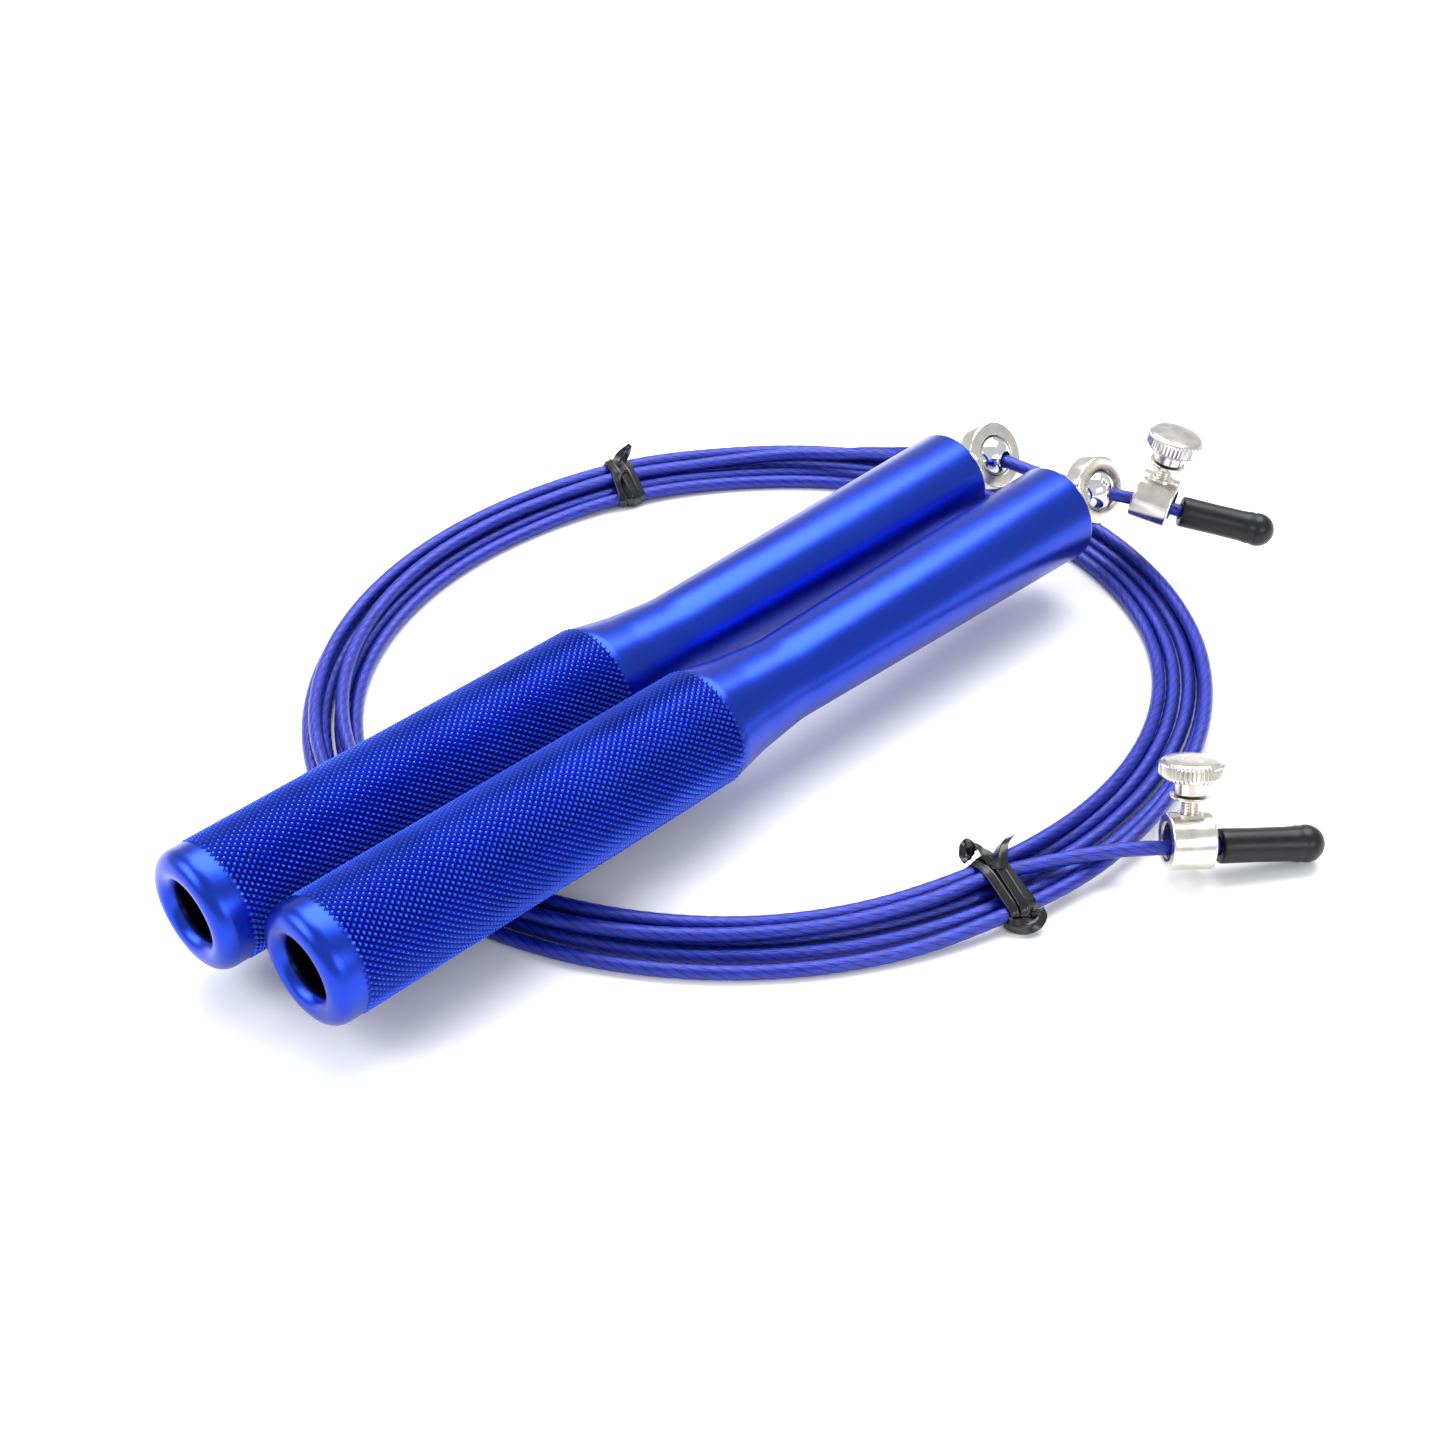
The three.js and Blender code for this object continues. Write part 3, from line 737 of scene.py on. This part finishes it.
COLLAR_RADIUS, COLLAR_BORE, COLLAR_LENGTH = 4.65, 2.95, 7.2
SCREW_LIFT = 2.6
THREAD_RADIUS, THREAD_PITCH, THREAD_DEPTH = 1.5, 0.5, 0.24
HEAD_RADIUS, HEAD_HEIGHT, HEAD_TEETH = 5.2, 3.4, 44
NECK_RADIUS, NECK_HEIGHT = 2.7, 2.3
SHOULDER_RADIUS, SHOULDER_HEIGHT = 3.3, 0.5
HEAD_GAP = 0.3  # between the shoulder and the head, and round the post inside the head


def upright(shell):
    """A body turned about +X, stood up so that it is turned about +Z."""
    points, faces = shell
    return [(-z, y, x) for x, y, z in points], faces


def collar_shell():
    half = COLLAR_LENGTH / 2
    outline = rounded(
        [
            (-half, COLLAR_BORE + 0.35, 0.15),
            (-half, COLLAR_RADIUS, 0.4),
            (half, COLLAR_RADIUS, 0.4),
            (half, COLLAR_BORE + 0.35, 0.15),
            (half - 0.35, COLLAR_BORE, 0.1),
            (0.35 - half, COLLAR_BORE, 0.1),
        ]
    )
    return turned(outline, 96)


def hole_rim():
    """The raised edge that the tapped hole left round the stud."""
    base = COLLAR_RADIUS - 0.45
    outline = rounded([(base, 1.55, 0), (base, 2.35, 0), (base + 0.55, 2.0, 0.12), (base + 0.5, 1.7, 0.1)])
    return upright(turned(outline, 40))


def stud_shells():
    foot, base = CABLE_D / 2 + 0.2 - CABLE_DROP, COLLAR_RADIUS + SCREW_LIFT
    rows = int((base + 0.1 - foot) / (THREAD_PITCH / 8))
    outline = [(foot, 0), (foot, 0.9)]
    outline += [(foot + 0.1 + (base - foot) * i / rows, THREAD_RADIUS) for i in range(rows + 1)]
    outline += [(base + 0.3, 1.2), (base + 0.3, 0)]

    def thread(row, along, radius, angle):
        if not 2 <= row < rows + 3:
            return radius
        phase = (along / THREAD_PITCH - angle / (2 * math.pi)) % 1
        fade = min(1, (row - 1) / 6)
        ridge = 0.5 + 0.5 * math.cos(2 * math.pi * phase)
        return radius - THREAD_DEPTH * (1 - fade) - THREAD_DEPTH * fade * ridge

    post_top = base + SHOULDER_HEIGHT + HEAD_GAP + NECK_HEIGHT + HEAD_HEIGHT / 2
    shoulder = rounded(
        [
            (base, 0, 0),
            (base, SHOULDER_RADIUS, 0.12),
            (base + SHOULDER_HEIGHT, SHOULDER_RADIUS, 0.12),
            (base + SHOULDER_HEIGHT, 1.1, 0.05),
            (post_top, 1.1, 0.1),
            (post_top, 0, 0),
        ]
    )
    threaded = turned(outline, 40, closed=False, shape=thread)
    return [upright(threaded), upright(turned(shoulder, 48, closed=False))]


def head_shell():
    """The head on its neck, with straight teeth round the rim and a shallow dish on top."""
    base = COLLAR_RADIUS + SCREW_LIFT + SHOULDER_HEIGHT + HEAD_GAP
    rim = base + NECK_HEIGHT
    top = rim + HEAD_HEIGHT
    outline = rounded(
        [
            (base, 1.4, 0),
            (base, NECK_RADIUS, 0.15),
            (rim - 0.1, NECK_RADIUS, 0.1),
            (rim, NECK_RADIUS + 1.0, 0.3),
            (rim + 0.15, HEAD_RADIUS - 0.55, 0.3),
            (rim + 0.75, HEAD_RADIUS, 0.15),
            (top - 0.85, HEAD_RADIUS, 0.15),
            (top - 0.2, HEAD_RADIUS - 0.7, 0.35),
            (top, HEAD_RADIUS - 2.4, 0.8),
            (top, 0, 0),
        ]
    )

    def teeth(row, along, radius, angle):
        share = min(1, max(0, (radius - HEAD_RADIUS + 0.45) / 0.4))
        phase = abs((angle * HEAD_TEETH / (2 * math.pi)) % 1 - 0.5) * 2
        return radius - 0.26 * share * phase**1.3

    depth = base + NECK_HEIGHT + HEAD_HEIGHT / 2 + HEAD_GAP
    outline = [(depth, 0), (depth, 1.4), *outline]
    return upright(turned(outline, HEAD_TEETH * 6, closed=False, shape=teeth))


def cap_shell():
    """A soft sleeve with a fuller round tip. Its mouth is at x = 0."""
    radius, tip, length, inside = 2.85, 3.12, 18, 1.45
    depth = CABLE_IN_CAP + 0.4
    outline = [
        (depth, 0),
        (depth, inside),
        (0.25, inside),
        (0.0, inside + 0.15),
        (0.0, radius - 0.25),
        (0.08, radius - 0.08),
        (0.3, radius),
        (1.2, radius + 0.02),
        (6, radius - 0.04),
        (11.4, radius),
        (12.4, radius + 0.06),
        (13.3, tip - 0.07),
    ]
    for a in np.linspace(-20, 90, 20):
        outline.append((length - tip + tip * math.sin(math.radians(a)), tip * math.cos(math.radians(a))))
    return turned(outline, 64, closed=False)


def make_stop(prefix, route):
    length = fine_line(route)[1]
    middle, ahead = line_at(route, length - CABLE_IN_CAP - STOP_TO_CAP)
    here = place(ahead, (0, 0, 1), middle) @ Matrix.Rotation(math.radians(STOP_YAW[prefix]), 4, "Z")
    here = here @ Matrix.Rotation(math.radians(STOP_ROLL[prefix]), 4, "X")
    here = here @ Matrix.Translation((0, 0, CABLE_DROP * MM))
    collar = piece(f"{prefix}_stop_collar_detailed", [collar_shell(), hole_rim()], NICKEL, here)
    stud = piece(f"{prefix}_screw_stud_detailed", stud_shells(), NICKEL, here)
    head = piece(f"{prefix}_screw_head_detailed", [head_shell()], NICKEL, here, sharp=38)
    stands_for(collar, f"{prefix}_stop", "nickel", f"{prefix}_stop_collar")
    stands_for(stud, f"{prefix}_screw", "nickel", f"{prefix}_thumb_screw_stud")
    stands_for(head, f"{prefix}_head", "nickel", f"{prefix}_thumb_screw_head")
    end = np.array(route[-1])
    forward = unit(end - np.array(route[-3]))
    at_end = place(forward, (0, 0, 1), end - forward * CABLE_IN_CAP)
    cap = piece(f"{prefix}_cap_detailed", [cap_shell()], VINYL, at_end)
    stands_for(cap, "rope", "black_vinyl", f"{prefix}_cap")
    return [collar, stud, head, cap]


on_cable = make_stop("long_end", LONG_END) + make_stop("short_end", SHORT_END)

# ---- Twist ties ----

TIE_CLEAR = 0.06  # between the cable and the strap round it
# Across the strap and out of it: thin wings with the wire's round core in the middle.
STRAP_SECTION = [
    (-1.2, -0.10),
    (-0.45, -0.14),
    (-0.2, -0.24),
    (0.2, -0.24),
    (0.45, -0.14),
    (1.2, -0.10),
    (1.28, 0.0),
    (1.2, 0.10),
    (0.45, 0.15),
    (0.22, 0.34),
    (0, 0.4),
    (-0.22, 0.34),
    (-0.45, 0.15),
    (-1.2, 0.10),
    (-1.28, 0.0),
]
STRAP_BACK = 0.24  # how far the core stands out of the strap's back


def hull(points):
    """The convex outline of points in a plane, anticlockwise."""
    points = sorted(points)

    def half(ordered):
        out = []
        for p in ordered:
            while len(out) > 1:
                (ax, ay), (bx, by) = out[-2:]
                if (bx - ax) * (p[1] - ay) - (by - ay) * (p[0] - ax) > 0:
                    break
                out.pop()
            out.append(p)
        return out[:-1]

    return half(points) + half(points[::-1])


def strands_at(centre, out):
    """Where the cable crosses a tie's plane: distance out from the tie's middle, and height."""
    across = np.array((-out[1], out[0]))
    offset = (cable_line[:, :2] - centre) @ across
    reach = (cable_line[:, :2] - centre) @ out
    crossing = np.nonzero((offset[:-1] * offset[1:] <= 0) & (np.abs(reach[:-1]) < 15))[0]
    return [(float(reach[i]), float(cable_line[i, 2])) for i in crossing]


def strap(path, outward, closed=False):
    """A strap swept along a path, its face turned outward at each point and its back to the bundle."""
    path, outward = np.array(path, float), np.array(outward, float)
    ahead = np.roll(path, -1, 0) - np.roll(path, 1, 0)
    if not closed:
        ahead[0], ahead[-1] = path[1] - path[0], path[-1] - path[-2]
    points = []
    for p, t, n in zip(path, ahead, outward):
        t = unit(t)
        n = unit(n - t * n.dot(t))
        b = np.cross(t, n)
        points.extend(p + b * u + n * v for u, v in STRAP_SECTION)
    count = len(STRAP_SECTION)
    faces = wrap_faces(len(path), count, closed)
    if not closed:
        faces.append(tuple(range(count)))
        faces.append(tuple(range(len(points) - 1, len(points) - count - 1, -1)))
    return [tuple(p) for p in points], faces


def wrap(strands, shift, lean, lift):
    """One turn of strap round the strands, in (out, across, up). lift is the room for the turn below."""
    reach = CABLE_D / 2 + TIE_CLEAR + STRAP_BACK + lift
    circle = [(reach * math.cos(a), reach * math.sin(a)) for a in np.linspace(0, 6.28, 33)]
    ring = [(o + x, z + y) for o, z in strands for x, y in circle]
    outline = np.array(hull(ring))
    outline = np.vstack([outline, outline[:1]])
    flat = np.c_[outline, np.zeros(len(outline))]
    loop = even(flat, 0.45)[0][:-1, :2]
    for _ in range(6):
        loop = (np.roll(loop, 1, 0) + 2 * loop + np.roll(loop, -1, 0)) / 4
    tangent = np.roll(loop, -1, 0) - np.roll(loop, 1, 0)
    normal = np.c_[tangent[:, 1], -tangent[:, 0]]
    middle = loop.mean(0)
    path = [(o, shift + lean * (z - middle[1]) / 6, z) for o, z in loop]
    return path, [(o, 0, z) for o, z in normal]


# The loose ends and folds of each tie: (out, across, up) from the floor under it, and the roll in degrees.
TIE_ENDS = {
    "front": [
        [
            (-3.0, 0.5, 6.3, 0),
            (-5.2, 0.3, 7.1, 20),
            (-7.2, 0.0, 7.2, 60),
            (-8.5, -0.5, 6.2, 120),
            (-8.2, -0.9, 5.0, 180),
            (-7.1, -1.1, 5.0, 220),
        ],
        [
            (-1.2, 0.2, 6.5, 0),
            (-2.8, 1.4, 7.4, -20),
            (-4.2, 3.0, 7.9, -40),
            (-5.2, 4.7, 7.5, -50),
            (-5.8, 5.8, 6.7, -60),
        ],
        [
            (4.6, -3.0, 1.6, 90),
            (6.4, -2.7, 1.8, 80),
            (7.5, -1.2, 1.8, 50),
            (7.7, 0.6, 1.8, 20),
            (7.1, 1.9, 2.2, 0),
            (6.5, 1.9, 3.0, -20),
        ],
    ],
    "rear": [
        [
            (1.6, 0.2, 5.6, 20),
            (2.6, -1.0, 6.2, 40),
            (3.2, -2.4, 7.1, 80),
            (3.6, -3.5, 8.0, 110),
        ],
        [
            (-1.0, 0.2, 5.5, 20),
            (-2.6, 1.2, 5.9, 50),
            (-4.2, 1.9, 5.3, 90),
            (-5.6, 2.0, 4.2, 130),
            (-6.3, 1.4, 3.0, 160),
        ],
    ],
}
# Shift across, lean and room below of each turn of a tie.
TIE_WRAPS = ((-1.45, 0.9, 0), (1.4, -0.5, 0.02), (0.1, 1.6, 0.42))


def make_tie(prefix, centre, degrees):
    out = np.array((math.cos(math.radians(degrees)), math.sin(math.radians(degrees))))
    strands = strands_at(np.array(centre), out)
    shells = []
    for shift, lean, lift in TIE_WRAPS:
        path, normals = wrap(strands, shift, lean, lift)
        shells.append(strap(path, normals, closed=True))
    for rows in TIE_ENDS[prefix]:
        guide = spline([row[:3] for row in rows], 8)
        roll = np.interp(np.linspace(0, len(rows) - 1, len(guide)), range(len(rows)), [r[3] for r in rows])
        ahead = np.gradient(guide, axis=0)
        outward = []
        for t, degree in zip(ahead, roll):
            t = unit(t)
            n = unit(np.array((0, 0, 1.0)) - t * t[2])
            a = math.radians(degree)
            outward.append(n * math.cos(a) + np.cross(t, n) * math.sin(a))
        shells.append(strap(guide, outward))
    here = place((out[0], out[1], 0), (0, 0, 1), (*centre, 0))
    tie = piece(f"{prefix}_twist_tie_detailed", shells, TIE, here, sharp=50)
    return stands_for(tie, "rope", "black_tie", f"{prefix}_twist_tie")


for prefix, (centre, degrees) in TIES.items():
    make_tie(prefix, centre, degrees)

# ---- Inner pieces that keep their solids ----

INNER = {
    "bearing_outer_race": STEEL,
    "bearing_inner_race": STEEL,
    "bearing_ball_cage": STEEL,
    "bearing_spacer": BRASS,
    "retaining_washer": NICKEL,
    "retaining_screw": NICKEL,
}
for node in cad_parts:
    for ending, paint in INNER.items():
        if node.endswith(ending):
            solid = bpy.data.objects[node]
            for slot in solid.material_slots:
                slot.material = paint

# ---- Floor and light ----


def add_floor():
    paint = Paint("floor", Roughness=0.9, Specular_IOR_Level=0.1)
    cloud = paint.noise(paint.place(), 3, 2)
    colour = paint.colours(cloud, (0.3, (0.90, 0.90, 0.91)), (0.7, (0.93, 0.93, 0.935)))
    material = paint.finish(Base_Color=colour)
    half = 3.0  # of the floor's side, in metres
    mesh = bpy.data.meshes.new("floor")
    corners = [(-half, -half, 0), (half, -half, 0), (half, half, 0), (-half, half, 0)]
    mesh.from_pydata(corners, [], [(0, 1, 2, 3)])
    mesh.materials.append(material)
    floor = bpy.data.objects.new("floor", mesh)
    bpy.context.scene.collection.objects.link(floor)


def add_softbox(name, at, towards, size, watts, colour=(1, 1, 1)):
    data = bpy.data.lights.new(name, "AREA")
    data.shape = "RECTANGLE"
    data.size, data.size_y = size
    data.energy = watts
    data.color = colour
    light = bpy.data.objects.new(name, data)
    bpy.context.scene.collection.objects.link(light)
    light.location = at
    light.rotation_euler = (Vector(towards) - Vector(at)).to_track_quat("-Z", "Y").to_euler()


def add_world():
    world = bpy.data.worlds.new("studio")
    bpy.context.scene.world = world
    world.use_nodes = True
    back = world.node_tree.nodes["Background"]
    back.inputs["Color"].default_value = (0.94, 0.96, 1.0, 1)
    back.inputs["Strength"].default_value = 0.72


add_floor()
add_world()
add_softbox("key", (0.30, 0.25, 0.75), (0.02, 0.0, 0.0), (0.95, 0.65), 12.5)
add_softbox("side", (-0.55, 0.35, 0.45), (0.0, 0.0, 0.01), (0.5, 0.35), 3.5)
add_softbox("front", (-0.1, -0.75, 0.40), (0.0, 0.0, 0.01), (0.5, 0.25), 2.0)
bpy.context.scene.view_settings.view_transform = "Standard"
